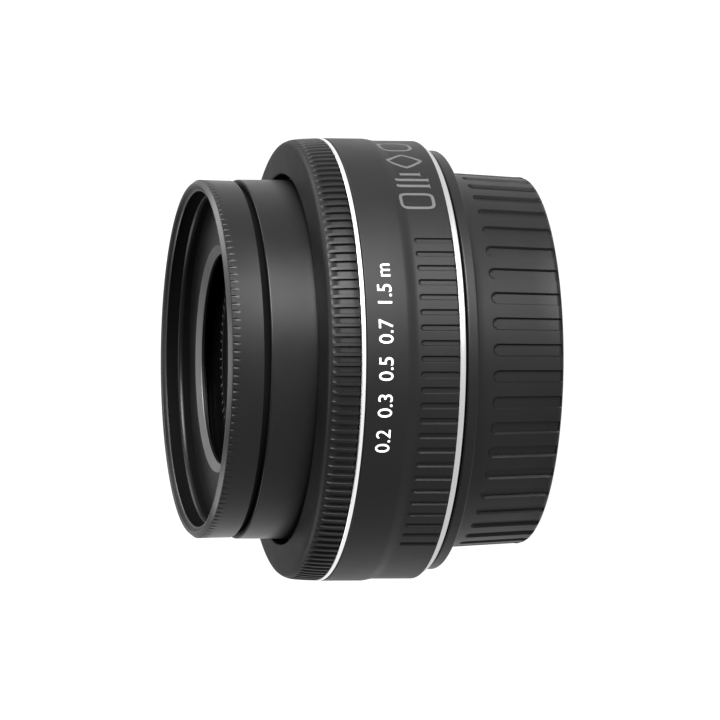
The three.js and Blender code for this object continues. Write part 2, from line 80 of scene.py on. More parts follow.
# ---------------------------------------------------------------- material helpers
class Finish:
    """A Principled material with its node tree open for adding to."""

    def __init__(self, name, color, roughness, metallic=0.0, **sockets):
        self.material = bpy.data.materials.new(name)
        self.material.use_nodes = True
        self.tree = self.material.node_tree
        self.shader = self.tree.nodes["Principled BSDF"]
        self.shader.inputs["Base Color"].default_value = (*color, 1)
        self.shader.inputs["Roughness"].default_value = roughness
        self.shader.inputs["Metallic"].default_value = metallic
        for socket, value in sockets.items():
            self.shader.inputs[socket.replace("_", " ")].default_value = value
        self.place = self.tree.nodes.new("ShaderNodeTexCoord")

    def link(self, source, target):
        self.tree.links.new(source, target)

    def noise(self, scale, detail=3.0, stretch=(1, 1, 1)):
        mapping = self.tree.nodes.new("ShaderNodeMapping")
        mapping.inputs["Scale"].default_value = stretch
        texture = self.tree.nodes.new("ShaderNodeTexNoise")
        texture.inputs["Scale"].default_value = scale
        texture.inputs["Detail"].default_value = detail
        self.link(self.place.outputs["Object"], mapping.inputs["Vector"])
        self.link(mapping.outputs["Vector"], texture.inputs["Vector"])
        return texture.outputs["Fac"]

    def spread(self, source, lowest, highest):
        """source, from 0 to 1, spread between two values."""
        node = self.tree.nodes.new("ShaderNodeMapRange")
        node.inputs["From Min"].default_value = 0.3
        node.inputs["From Max"].default_value = 0.7
        node.inputs["To Min"].default_value = lowest
        node.inputs["To Max"].default_value = highest
        self.link(source, node.inputs["Value"])
        return node.outputs["Result"]

    def tint(self, source, dark, light):
        node = self.tree.nodes.new("ShaderNodeValToRGB")
        node.color_ramp.elements[0].position = 0.3
        node.color_ramp.elements[0].color = (*dark, 1)
        node.color_ramp.elements[1].position = 0.7
        node.color_ramp.elements[1].color = (*light, 1)
        self.link(source, node.inputs["Fac"])
        self.link(node.outputs["Color"], self.shader.inputs["Base Color"])

    def vary_roughness(self, source, lowest, highest):
        self.link(self.spread(source, lowest, highest), self.shader.inputs["Roughness"])

    def bump(self, source, height_mm, strength=1.0):
        node = self.tree.nodes.new("ShaderNodeBump")
        node.inputs["Strength"].default_value = strength
        node.inputs["Distance"].default_value = height_mm * MM
        self.link(source, node.inputs["Height"])
        self.link(node.outputs["Normal"], self.shader.inputs["Normal"])


def grained(name, color, roughness, grain_mm, height_mm, **sockets):
    """Moulded plastic or anodised metal: a fine even grain, and faint patches of sheen."""
    made = Finish(name, color, roughness, **sockets)
    grain = made.noise(1 / (grain_mm * MM), 2.0)
    patches = made.noise(90.0, 4.0)
    made.tint(patches, tuple(c * 0.88 for c in color), tuple(c * 1.12 for c in color))
    made.vary_roughness(patches, roughness - 0.04, roughness + 0.05)
    made.bump(grain, height_mm)
    return made.material


def turned_metal(name, color, roughness, **sockets):
    """Metal with fine lathe rings: a noise squeezed along the axis of turning."""
    made = Finish(name, color, roughness, 1.0, **sockets)
    rings = made.noise(500.0, 2.0, (0.06, 0.06, 8))
    made.vary_roughness(rings, roughness - 0.05, roughness + 0.07)
    made.bump(rings, 0.006, 0.5)
    return made.material


def coated_glass(name, reflection, ior=1.52):
    made = Finish(name, (0.97, 0.99, 0.98), 0.0, IOR=ior)
    made.shader.inputs["Transmission Weight"].default_value = 1.0
    made.shader.inputs["Specular Tint"].default_value = (*reflection, 1)
    made.bump(made.noise(60.0, 1.0), 0.0004, 0.3)
    return made.material


def circuit_board(name):
    made = Finish(name, (0.02, 0.12, 0.05), 0.35)
    cells = made.tree.nodes.new("ShaderNodeTexVoronoi")
    cells.inputs["Scale"].default_value = 700
    made.link(made.place.outputs["Object"], cells.inputs["Vector"])
    made.tint(cells.outputs["Distance"], (0.015, 0.1, 0.04), (0.03, 0.18, 0.07))
    made.bump(cells.outputs["Distance"], 0.02)
    return made.material


SHEEN = {"Specular_IOR_Level": 0.2}
FINISHES = {
    "moulded_black": grained("moulded_black", (0.0031, 0.003, 0.003), 0.47, 0.09, 0.012, **SHEEN),
    "satin_black": grained("satin_black", (0.003, 0.003, 0.0031), 0.36, 0.07, 0.004, **SHEEN),
    "anodised_black": grained("anodised_black", (0.003, 0.003, 0.0031), 0.36, 0.06, 0.004, **SHEEN),
    "cap_black": grained("cap_black", (0.0031, 0.003, 0.003), 0.42, 0.12, 0.012, **SHEEN),
    "blade_black": grained("blade_black", (0.004, 0.004, 0.004), 0.6, 0.05, 0.002, **SHEEN),
    "bright_trim": turned_metal("bright_trim", (0.8, 0.8, 0.8), 0.25),
    "mount_chrome": turned_metal("mount_chrome", (0.5, 0.5, 0.5), 0.28),
    "steel": turned_metal("steel", (0.6, 0.6, 0.61), 0.32),
    "brass": turned_metal("brass", (0.76, 0.56, 0.26), 0.3),
    "nylon": grained("nylon", (0.78, 0.76, 0.7), 0.45, 0.2, 0.004),
    "board": circuit_board("board"),
    "coated_glass": coated_glass("coated_glass", (0.6, 0.85, 0.8)),
    "white_mark": grained("white_mark", (0.8, 0.8, 0.79), 0.5, 0.05, 0.004),
}
PRINT_WHITE = grained("print_white", (0.82, 0.82, 0.81), 0.5, 0.05, 0.002)
PRINT_GREY = grained("print_grey", (0.045, 0.045, 0.045), 0.55, 0.05, 0.002)
FAINT_GREY = grained("faint_grey", (0.09, 0.09, 0.09), 0.55, 0.05, 0.002)
MATTE_BLACK = grained("matte_black", (0.0014, 0.0014, 0.0014), 0.7, 0.05, 0.002, Specular_IOR_Level=0.02)
# A lighter, shinier copy of the anodised black: painted highlight on the hood's front rim and on the line at
# its inner edge.
RIM_PAINTED_HIGHLIGHT = grained("rim_painted_highlight", (0.016, 0.0158, 0.0158), 0.35, 0.05, 0.002, Specular_IOR_Level=0.5)
# A lighter grey copy of the anodised black: painted reflection of the overhead light on the hood's opening
# bevel.
BEVEL_PAINTED_REFLECTION = grained("bevel_painted_reflection", (0.055, 0.0545, 0.0545), 0.4, 0.06, 0.002)


# ---------------------------------------------------------------- mesh helpers
def finish_mesh(name, mesh, material, sharp=32):
    mesh.materials.append(material)
    mesh.shade_smooth()
    mesh.set_sharp_from_angle(angle=math.radians(sharp))
    piece = bpy.data.objects.new(name, mesh)
    bpy.context.collection.objects.link(piece)
    return piece


def even(count, start=0.0, stop=360.0):
    return [start + (stop - start) * i / count for i in range(count)]


def filleted(corners, steps=4, support=0.05):
    """A profile whose corners are (radius, height) or (radius, height, fillet radius). A support
    point each side of a fillet keeps the wall beside it flat when the mesh is shaded smooth."""
    points = []
    count = len(corners)
    for i, corner in enumerate(corners):
        here = Vector(corner[:2])
        if len(corner) < 3:
            points.append((here.x, here.y))
            continue
        before = (Vector(corners[i - 1][:2]) - here).normalized()
        after = (Vector(corners[(i + 1) % count][:2]) - here).normalized()
        half = before.angle(after) / 2
        reach = corner[2] / math.tan(half)
        middle = here + (before + after).normalized() * (corner[2] / math.sin(half))
        first = here + before * reach - middle
        last = here + after * reach - middle
        turn = first.angle_signed(last)
        points.append(tuple(here + before * (reach + support)))
        for k in range(steps + 1):
            spoke = first.copy()
            spoke.rotate(Matrix.Rotation(-turn * k / steps, 2))
            points.append((middle.x + spoke.x, middle.y + spoke.y))
        points.append(tuple(here + after * (reach + support)))
    return points


def lathe(name, profile, material, angles=None, shape=None, sharp=32):
    """A closed profile turned about Z. shape(angle, radius, height) may change the radius."""
    angles = angles or even(256)
    rows, columns = len(profile), len(angles)
    vertices = []
    for angle in angles:
        c, s = math.cos(math.radians(angle)), math.sin(math.radians(angle))
        for r, z in profile:
            r_here = shape(angle, r, z) if shape else r
            vertices.append((r_here * c * MM, r_here * s * MM, z * MM))
    faces = []
    for i in range(columns):
        for j in range(rows):
            k, m = (i + 1) % columns, (j + 1) % rows
            faces.append((i * rows + j, k * rows + j, k * rows + m, i * rows + m))
    mesh = bpy.data.meshes.new(name)
    mesh.from_pydata(vertices, [], faces)
    close_poles(mesh)
    return finish_mesh(name, mesh, material, sharp)


def close_poles(mesh):
    """Merges the points that lie on the axis and turns every face outwards."""
    work = bmesh.new()
    work.from_mesh(mesh)
    bmesh.ops.remove_doubles(work, verts=work.verts, dist=1e-7)
    bmesh.ops.dissolve_degenerate(work, edges=work.edges, dist=1e-8)
    bmesh.ops.recalc_face_normals(work, faces=work.faces)
    work.to_mesh(mesh)
    work.free()


def block(name, size, centre, material, angle=0.0, bevel=0.0):
    """A box, in millimetres, turned about Z by angle degrees after it is placed, bevelled."""
    mesh = bpy.data.meshes.new(name)
    work = bmesh.new()
    bmesh.ops.create_cube(work, size=1.0)
    bmesh.ops.scale(work, vec=Vector(size) * MM, verts=work.verts)
    if bevel:
        bmesh.ops.bevel(work, geom=work.edges, offset=bevel * MM, segments=3, profile=0.5,
                        affect="EDGES")
    bmesh.ops.translate(work, vec=Vector(centre) * MM, verts=work.verts)
    bmesh.ops.rotate(work, cent=(0, 0, 0), matrix=Matrix.Rotation(math.radians(angle), 3, "Z"),
                     verts=work.verts)
    work.to_mesh(mesh)
    work.free()
    return finish_mesh(name, mesh, material)


def boolean(piece, cutter, operation="DIFFERENCE"):
    """Cuts or joins one piece with another and throws the other away."""
    modifier = piece.modifiers.new("cut", "BOOLEAN")
    modifier.operation = operation
    modifier.solver = "EXACT"
    modifier.object = cutter
    bpy.context.view_layer.update()
    shaped = bpy.data.meshes.new_from_object(
        piece.evaluated_get(bpy.context.evaluated_depsgraph_get()))
    piece.modifiers.clear()
    piece.data = shaped
    bpy.data.objects.remove(cutter)
    return piece


def join(name, pieces):
    """Joins the meshes of several pieces of one material into the first."""
    work = bmesh.new()
    for piece in pieces:
        work.from_mesh(piece.data)
    mesh = pieces[0].data
    work.to_mesh(mesh)
    work.free()
    for piece in pieces[1:]:
        bpy.data.objects.remove(piece)
    pieces[0].name = name
    return pieces[0]


def settle(piece, body, slot, *nodes):
    """Lifts a finished piece, and says which CAD body it rides on and the CAD nodes that it stands for. The
    slot argument, its finish, is not used."""
    piece.data.transform(Matrix.Translation((0, 0, FOOT * MM)))
    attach(piece, body)
    if nodes:
        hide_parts(*nodes)


def ease(x):
    x = min(max(x, 0.0), 1.0)
    return x * x * (3 - 2 * x)


def groove(across, z, half_width, first, last, depth, wall=0.2):
    """Depth at a point of a groove along the axis, with a round end beyond each of two heights."""
    beyond = max(first - z, z - last, 0.0)
    return depth * ease((half_width - math.hypot(across, beyond)) / wall)


def from_nearest(angle, pitch, r):
    """Distance round a circle of radius r to the nearest multiple of a pitch in degrees."""
    return math.radians((angle + pitch / 2) % pitch - pitch / 2) * r


def climb(start, stop, heights):
    """Points of a straight wall between two profile points, at the given heights."""
    (r0, z0), (r1, z1) = start, stop
    return [(r0 + (r1 - r0) * (z - z0) / (z1 - z0), z) for z in heights]


def steps(start, stop, step):
    count = max(1, round(abs(stop - start) / step))
    return [start + (stop - start) * i / count for i in range(count + 1)]


def within(angle, centres, half):
    return any(abs((angle - c + 180) % 360 - 180) <= half for c in centres)


# ---------------------------------------------------------------- rear cap
CAP_PITCH = 8.0
CAP_PHASE = 1.0                    # degrees from +X to the first groove's middle
CAP_GROOVE_HALF = 0.97
CAP_GROOVE_FRONT = 10.95
CAP_GROOVE_DEPTH = 0.4
CAP_LUG_CENTRES = (0, 120, 240)
CAP_LUG_HALF = 25
CAP_BORE = 27.3
CAP_LUG_BORE = 25.8


def rear_cap():
    columns = (-4, -3, -2.2, -1.95, -1.75, -1.55, -1.4, -0.9, -0.45,
               0, 0.45, 0.9, 1.4, 1.55, 1.75, 1.95, 2.2, 3)
    angles = [CAP_PHASE + c + a for c in even(45) for a in columns]
    angles += [c + s * (CAP_LUG_HALF + e) for c in CAP_LUG_CENTRES for s in (-1, 1)
               for e in (-0.03, 0.03)]
    heights = [1, 4, 8, 9.4] + steps(9.7, CAP_GROOVE_FRONT + 0.15, 0.1) + [12, 13.6]
    base = -FOOT
    profile = [(0, base), (20, base), (20.2, base + 0.25), (20.8, base + 0.25), (21, base)]
    profile += filleted([(27.2, base), (28.37, base, 0.75), (28.4, 0.9)])[1:-1]
    profile += climb((28.31, 0.25), (29.08, 13.85), heights)
    profile += [(29.1, 13.75), (28.95, 13.78), (28.95, 13.88), (29.3, 13.88)]
    profile += filleted([(29.4, 13.88), (32.35, 13.88, 0.3), (32.35, CAP_FRONT, 0.3),
                         (28, CAP_FRONT)])[1:-1]
    profile.append((27.5, CAP_FRONT))
    profile += [(CAP_BORE, z) for z in (CAP_FRONT - 0.2, 14.35, 14.3, 12.5, 12.45, 2.8)]
    profile += [(27, 2.1), (26.3, 1.8), (0, 1.8)]

    def shape(angle, r, z):
        if r > 28.2 and base + 0.1 < z < 12:
            across = from_nearest(angle - CAP_PHASE, CAP_PITCH, r)
            return r - groove(across, z, CAP_GROOVE_HALF, -9, CAP_GROOVE_FRONT - CAP_GROOVE_HALF,
                              CAP_GROOVE_DEPTH)
        lug = within(angle, CAP_LUG_CENTRES, CAP_LUG_HALF)
        return CAP_LUG_BORE if lug and r == CAP_BORE and 12.48 < z < 14.32 else r

    piece = lathe("rear_cap_shell", profile, FINISHES["cap_black"], sorted(a % 360 for a in angles), shape)
    settle(piece, "rear_cap", "cap_black", "rear_cap")


# ---------------------------------------------------------------- bayonet mount
MOUNT_LUG_CENTRES = (60, 180, 300)
MOUNT_LUG_HALF = 27
MOUNT_LUG_REACH = 1.7
SCREW_ANGLES = (45, 135, 225, 315)
SCREW_CIRCLE = 29.3


def rod(name, r, start, stop, material, place=(0, 0), sides=48, ends=0.0):
    """A round bar along Z with rounded ends, moved to a place in millimetres."""
    fillet = (ends,) if ends else ()
    profile = filleted([(0, start), (r, start, *fillet), (r, stop, *fillet), (0, stop)], 3)
    piece = lathe(name, profile, material, even(sides))
    piece.data.transform(Matrix.Translation((place[0] * MM, place[1] * MM, 0)))
    return piece


def polar(r, angle):
    return r * math.cos(math.radians(angle)), r * math.sin(math.radians(angle))


def mount_plate():
    lug_edges = [c + s * (MOUNT_LUG_HALF + e) for c in MOUNT_LUG_CENTRES for s in (-1, 1)
                 for e in (-0.03, 0.03)]
    profile = [(24, 10.75), (24.1, 10.7), (25.2, 10.7), (25.3, 10.8), (25.3, 12.0), (25.3, 12.1),
               (25.3, FLANGE_Z)]
    profile += filleted([(26, FLANGE_Z), (33, FLANGE_Z, 0.12), (33, PLATE_TOP, 0.05),
                         (24, PLATE_TOP)])[1:]

    def shape(angle, r, z):
        lug = within(angle, MOUNT_LUG_CENTRES, MOUNT_LUG_HALF)
        return r + MOUNT_LUG_REACH if lug and 25.1 < r < 25.4 and z < 12.2 else r

    piece = lathe("mount_plate_turned", profile, FINISHES["mount_chrome"],
                  sorted(a % 360 for a in even(192) + lug_edges), shape)
    for angle in SCREW_ANGLES:
        place = polar(SCREW_CIRCLE, angle)
        boolean(piece, rod("bore", 0.95, 15, 18, FINISHES["steel"], place))
        boolean(piece, rod("sink", 1.6, 15, 16.9, FINISHES["steel"], place))
    piece.data.set_sharp_from_angle(angle=math.radians(32))
    settle(piece, "barrel", "mount_chrome", "mount_plate")


def mount_screws():
    for i, angle in enumerate(SCREW_ANGLES, 1):
        piece = rod(f"mount_screw_head_{i}", 1.4, 16.2, 16.75, FINISHES["steel"], ends=0.15)
        for turn in (0, 90):
            boolean(piece, block("recess", (1.6, 0.34, 0.7), (0, 0, 16.2), FINISHES["steel"], turn))
        boolean(piece, rod("shank", 0.75, 16.6, 18.3, FINISHES["steel"]), "UNION")
        piece.data.transform(Matrix.Translation((*(v * MM for v in polar(SCREW_CIRCLE, angle)), 0)))
        piece.data.set_sharp_from_angle(angle=math.radians(32))
        settle(piece, "barrel", "steel", f"mount_screw_{i}")


def rear_baffle():
    profile = [(14.6, 13.3), (14.7, 13.2), (16, 13.2), (16.1, 13.35), (19.6, 13.35), (19.7, 13.2),
               (23.5, 13.2), (23.6, 13.3), (23.6, 15.6), (22.9, 15.6), (22.9, 14.0), (14.6, 14.0)]
    piece = lathe("rear_baffle_disc", profile, FINISHES["moulded_black"], even(160))
    settle(piece, "barrel", "moulded_black", "rear_baffle")


def arc_block(name, inner, outer, start, stop, bottom, top, material, count=40):
    """A closed bar that follows part of a circle."""
    vertices, faces = [], []
    for i in range(count + 1):
        angle = start + (stop - start) * i / count
        for r, z in ((inner, bottom), (outer, bottom), (outer, top), (inner, top)):
            x, y = polar(r, angle)
            vertices.append((x * MM, y * MM, z * MM))
    for i in range(count):
        for j in range(4):
            a, b = i * 4 + j, i * 4 + (j + 1) % 4
            faces.append((a, a + 4, b + 4, b))
    faces += [(3, 2, 1, 0), tuple(count * 4 + j for j in range(4))]
    mesh = bpy.data.meshes.new(name)
    mesh.from_pydata(vertices, [], faces)
    close_poles(mesh)
    return finish_mesh(name, mesh, material)


def soften(piece, width_mm, segments=2):
    """Bevels every sharp edge of a piece."""
    work = bmesh.new()
    work.from_mesh(piece.data)
    edges = [e for e in work.edges if len(e.link_faces) == 2 and e.calc_face_angle() > 0.6]
    bmesh.ops.bevel(work, geom=edges, offset=width_mm * MM, segments=segments, profile=0.5,
                    affect="EDGES", clamp_overlap=True)
    work.to_mesh(piece.data)
    work.free()
    piece.data.shade_smooth()
    piece.data.set_sharp_from_angle(angle=math.radians(32))
    return piece


def contacts():
    centre, half_span = 270, 30
    count, pitch = 8, 7
    housing = arc_block("contact_housing", 20.6, 23.6, centre - half_span, centre + half_span,
                        11, 13, FINISHES["moulded_black"])
    settle(soften(housing, 0.2), "barrel", "moulded_black", "contact_block")
    pads = []
    for k in range(count):
        place = polar(22.1, centre + (k - (count - 1) / 2) * pitch)
        pads.append(rod(f"pad_{k}", 0.62, 10.5, 11.05, FINISHES["brass"], place, 32, 0.15))
    settle(join("contact_pads", pads), "barrel", "brass", "contact_strip")


# ---------------------------------------------------------------- fixed barrel
GRIP_RADIUS = 33.8
GRIP_PITCH = 4.0
GRIP_HALF = 0.5
GRIP_DEPTH = 0.3
GRIP_WALL = 0.22
GRIP_HIGH = 23.25
STEP_LOW, STEP_RISE = 23.5, 2.0    # the step up to the barrel's widest part
FRONT_GRIP = (-145.8, -57.8)       # first and last groove of each patch, degrees round the barrel
BACK_GRIP = (34.2, 106.2)
SWITCH_ANGLE = 90.0
SWITCH_Z = 27.6
INDEX_ANGLE = 120.0
INDEX_Z = 18.6
SWITCH_WINDOW_HALF = 5.9           # degrees


def grip_depth(angle, r, z):
    for first, last in (FRONT_GRIP, BACK_GRIP):
        from_first = (angle - first + 180) % 360 - 180
        if -GRIP_PITCH / 2 < from_first < last - first + GRIP_PITCH / 2:
            across = from_nearest(from_first, GRIP_PITCH, r)
            return groove(across, z, GRIP_HALF, 0, GRIP_HIGH - GRIP_HALF, GRIP_DEPTH, GRIP_WALL)
    return 0.0


def shell_radius(z):
    return GRIP_RADIUS + (BARREL_RADIUS - GRIP_RADIUS) * ease((z - STEP_LOW) / STEP_RISE)


def barrel_cover():
    plain_step, margin = 1.5, 2
    columns = [s * c for s, cs in ((-1, (1.5, 0.95, 0.84, 0.81, 0.76, 0.66, 0.5, 0.28, 0)),
                                   (1, (0.28, 0.5, 0.66, 0.76, 0.81, 0.84, 0.95, 1.5)))
               for c in cs]
    angles = []
    for first, last in (FRONT_GRIP, BACK_GRIP):
        angles += [g + c for g in even(round((last - first) / GRIP_PITCH) + 1, first, last + GRIP_PITCH)
                   for c in columns]
    for last, following in ((FRONT_GRIP[1], BACK_GRIP[0]), (BACK_GRIP[1], FRONT_GRIP[0] + 360)):
        count = round((following - last - 2 * margin) / plain_step)
        angles += even(count, last + margin, following - margin)
    heights = [17.5, 19.5, 21, 22.3] + steps(22.6, GRIP_HIGH, 0.08) + [23.35]
    step = [(shell_radius(z), z) for z in steps(STEP_LOW, STEP_LOW + STEP_RISE, 0.2)]
    profile = [(32.3, COVER_LOW), (GRIP_RADIUS - 0.25, COVER_LOW), (GRIP_RADIUS - 0.06, COVER_LOW + 0.07),
               (GRIP_RADIUS, COVER_LOW + 0.24)]
    profile += [(GRIP_RADIUS, z) for z in heights] + step
    profile += [(BARREL_RADIUS, 28), (BARREL_RADIUS, COVER_TOP - 0.25),
                (BARREL_RADIUS, COVER_TOP - 0.2), (34.06, COVER_TOP - 0.13),
                (33.85, COVER_TOP), (32.3, COVER_TOP)]

    def shape(angle, r, z):
        return r - grip_depth(angle, r, z) if r > GRIP_RADIUS - 0.2 and z < 23.4 else r

    piece = lathe("barrel_shell", profile, FINISHES["moulded_black"], sorted(a % 360 for a in angles), shape)
    boolean(piece, arc_block("window", 31, 36, SWITCH_ANGLE - SWITCH_WINDOW_HALF,
                             SWITCH_ANGLE + SWITCH_WINDOW_HALF, SWITCH_Z - 1.5, SWITCH_Z + 1.5,
                             FINISHES["moulded_black"]))
    hole = rod("hole", 0.95, 32.7, 35, FINISHES["moulded_black"])
    boolean(piece, point_outwards(hole, INDEX_ANGLE, INDEX_Z))
    piece.data.set_sharp_from_angle(angle=math.radians(32))
    settle(piece, "barrel", "moulded_black", "barrel_cover")


def point_outwards(piece, angle, z):
    """Turns a piece made along Z so that it points outwards from the axis at a height."""
    turn = Matrix.Rotation(math.radians(angle), 4, "Z") @ Matrix.Rotation(math.pi / 2, 4, "Y")
    piece.data.transform(Matrix.Translation((0, 0, z * MM)) @ turn)
    return piece


def mount_index():
    mark = rod("mount_index_dot", 0.85, 32.9, 33.82, FINISHES["white_mark"], ends=0.12)
    settle(point_outwards(mark, INDEX_ANGLE, INDEX_Z), "barrel", "white_mark", "mount_index")


def trim_ring():
    profile = filleted([(32.3, TRIM_LOW), (BARREL_RADIUS, TRIM_LOW, 0.1),
                        (BARREL_RADIUS, TRIM_TOP, 0.1), (32.3, TRIM_TOP)], 3)
    piece = lathe("trim_ring_turned", profile, FINISHES["bright_trim"])
    settle(piece, "barrel", "bright_trim", "trim_ring")


def mode_switch():
    travel = 5.0
    centre = SWITCH_ANGLE - travel / 2
    knob = arc_block("mode_switch_knob", 31.9, 33.95, centre - 2.8, centre + 2.8, SWITCH_Z - 1.3,
                     SWITCH_Z + 1.3, FINISHES["moulded_black"], 12)
    for k in (-1.6, -0.8, 0, 0.8, 1.6):
        notch = block("notch", (0.4, 0.22, 3), (34.05, 0, SWITCH_Z), FINISHES["moulded_black"], centre + k)
        boolean(knob, notch)
    boolean(knob, arc_block("slider", 31.5, 32.05, centre - 9, centre + 9, 25.1, 30.1,
                            FINISHES["moulded_black"]), "UNION")
    settle(soften(knob, 0.06, 1), "mode_switch", "moulded_black", "mode_switch")


# ---------------------------------------------------------------- focus ring
RIB_PITCH = 2.5
RIB_FRONT = 36.98
VALLEY_HALF = 0.53
VALLEY_DEPTH = 0.42
VALLEY_RUN = 1.6                   # length over which a valley reaches its depth


def shoulder(z):
    """Radius of the focus ring's rounded front corner: a quarter of an oval."""
    return 32.9 + 1.0 * math.sqrt(max(0.0, 1 - ((z - 35.2) / 2.14) ** 2))


def focus_ring():
    half = math.degrees(VALLEY_HALF / BARREL_RADIUS)
    columns = [-RIB_PITCH / 2] + [s * (half + e) for s, es in ((-1, (0.03, 0, -0.06, -0.13, -0.2, -0.25)),
                                                      (1, (-0.25, -0.2, -0.13, -0.06, 0, 0.03)))
                         for e in es]
    angles = [c + a for c in even(round(360 / RIB_PITCH)) for a in columns]
    profile = [(32.05, RING_LOW), (33.5, RING_LOW), (33.95, RING_LOW), (34.02, RING_LOW + 0.04),
               (34.05, RING_LOW + 0.12), (34.02, 33.6), (33.98, 34.4), (33.92, 35.2)]
    profile += [(shoulder(z), z) for z in steps(35.5, 37.3, 0.1)]
    profile += [(32.75, 37.4), (32.4, 37.47), (31, 37.64), (29, 37.88), (28.75, 37.9),
                (28.6, 37.87), (28.5, 37.75)]
    profile += [(28.5, 36.4), (32.5, 36.2), (32.5, 34.8), (31.5, 34.8), (31.5, 34.2), (32.05, 34.2)]

    def shape(angle, r, z):
        if r < 33 or z > RIB_FRONT:
            return r
        across = from_nearest(angle, RIB_PITCH, BARREL_RADIUS)
        deep = VALLEY_DEPTH * ease((RIB_FRONT - z) / VALLEY_RUN)
        return r - groove(across, z, VALLEY_HALF, 20, RIB_FRONT - VALLEY_HALF, deep, 0.15)

    piece = lathe("focus_ring_ribbed", profile, FINISHES["moulded_black"], angles, shape)
    settle(piece, "focus_ring", "moulded_black", "focus_ring")


# ---------------------------------------------------------------- moving barrel and hood
def threaded(r, start, stop, pitch, depth):
    """Points up a threaded-looking wall: shallow V ridges between two heights."""
    ridges = round((stop - start) / pitch)
    points = []
    for k in range(ridges):
        z = start + (stop - start) * k / ridges
        points += [(r, z), (r - depth, z + pitch / 2)]
    return points + [(r, stop)]


def inner_barrel():
    thread = threaded(26.6, 44.3, 44.85, 0.35, 0.12)[::-1]
    profile = [(26.6, 27), (27.6, 27), (27.6, 33), (27.6, 40)]
    profile += filleted([(27.6, 44), (27.6, BARREL_FRONT, 0.22), (26.9, BARREL_FRONT)])[1:-1]
    profile += [(26.8, BARREL_FRONT)] + thread
    profile += [(26.6, 39.6), (15.4, 39.6), (15.4, 38.2), (26.6, 38.2)]
    piece = lathe("inner_barrel_tube", profile, FINISHES["satin_black"], even(288))
    settle(piece, "lens_unit", "satin_black", "inner_barrel")


NOTCHES = 144
LIP = 50.75                        # front of the notched band, where the rim's chamfer starts
NOTCH_BACK = 49.5                  # where a notch has run out
NOTCH_DEPTH = 0.15
NOTCH_HALF = 0.2                   # of the pitch between notches


def hood():
    pitch = 360 / NOTCHES
    angles = [c + a * pitch for c in even(NOTCHES)
              for a in (-0.5, -0.23, -0.2, -0.13, -0.07, 0, 0.07, 0.13, 0.2, 0.23)]
    profile = [(25.2, HOOD_LOW), (26.1, HOOD_LOW), (26.2, HOOD_LOW + 0.1)]
    profile += filleted([(26.2, 45.85), (27.42, 45.85, 0.12), (27.44, 49.3)], 3)[1:-1]
    profile += [(27.42, 46.5)]
    profile += climb((27.42, 46.5), (27.52, LIP), steps(49.3, LIP - 0.1, 0.14) + [LIP - 0.05, LIP])
    profile += [(27.42, LIP + 0.1), (27.02, HOOD_TOP - 0.1), (26.94, HOOD_TOP - 0.05),
                (26.82, HOOD_TOP - 0.05), (26.1, 50.85), (26.03, 50.8), (25.88, 50.78), (25.8, 50.7),
                (25.7, 49.6), (25.62, 49.5), (25.45, 48.4), (25.35, 48.3), (25.15, 47.5), (25.05, 47.4),
                (22, 47.47), (18, 47.67), (17.5, 47.7), (17.4, 47.68), (16.25, 47.03), (16.2, 46.95),
                (16.2, 46.55), (17, 46.4), (25, 46.25), (25.2, 45.9)]

    def shape(angle, r, z):
        if r > 27.3 and NOTCH_BACK < z < LIP - 0.06:
            deep = NOTCH_DEPTH * (z - NOTCH_BACK) / (LIP - NOTCH_BACK)
            across = from_nearest(angle, pitch, 1) / math.radians(pitch) / NOTCH_HALF
            return r - deep * max(0.0, 1 - across ** 2)
        return r

    piece = lathe("hood_dish", profile, FINISHES["anodised_black"], angles, shape)
    settle(piece, "hood", "anodised_black", "hood")
    wall = [(25.79, 50.66), (25.67, 49.6), (25.6, 49.5), (25.3, 48.3), (25.0, 47.42)]
    lining = wall + [(r + 0.08, z) for r, z in wall[::-1]]
    settle(lathe("hood_inner_wall", lining, MATTE_BLACK), "hood", "anodised_black")
    ridge = [(25.5, 48.96), (25.37, 48.84), (25.27, 48.66), (25.21, 48.45), (25.2, 48.24),
             (25.26, 48.1), (25.45, 48.3)]
    settle(lathe("hood_inner_ridge", ridge, FINISHES["anodised_black"]), "hood", "anodised_black")
    # Sheets over the rim face and the rim's inner edge, in a lighter grey than the anodised hood: painted
    # highlight where light catches the rim.
    face = [(27.46, LIP + 0.08), (27.06, HOOD_TOP - 0.08), (26.96, HOOD_TOP), (26.8, HOOD_TOP),
            (26.55, HOOD_TOP - 0.16), (26.56, HOOD_TOP - 0.26), (26.9, HOOD_TOP - 0.2),
            (27.36, LIP + 0.04)]
    settle(lathe("hood_rim_face_painted_highlight", face, RIM_PAINTED_HIGHLIGHT), "hood", "anodised_black")
    line = [(26.08, 50.88), (25.84, 50.83), (25.78, 50.72), (26.0, 50.7)]
    settle(lathe("hood_rim_painted_highlight_line", line, RIM_PAINTED_HIGHLIGHT), "hood", "anodised_black")
    # A sheet on the opening's bevel in a lighter grey than the anodised hood: painted reflection of the
    # overhead light.
    bevel = [(17.46, 47.69), (17.36, 47.71), (16.2, 47.05), (16.17, 46.95), (16.3, 46.91), (17.3, 47.55)]
    settle(lathe("hood_opening_bevel_painted_reflection", bevel, BEVEL_PAINTED_REFLECTION), "hood", "anodised_black")


NAME_FACE = 43.95
TICKS = 72


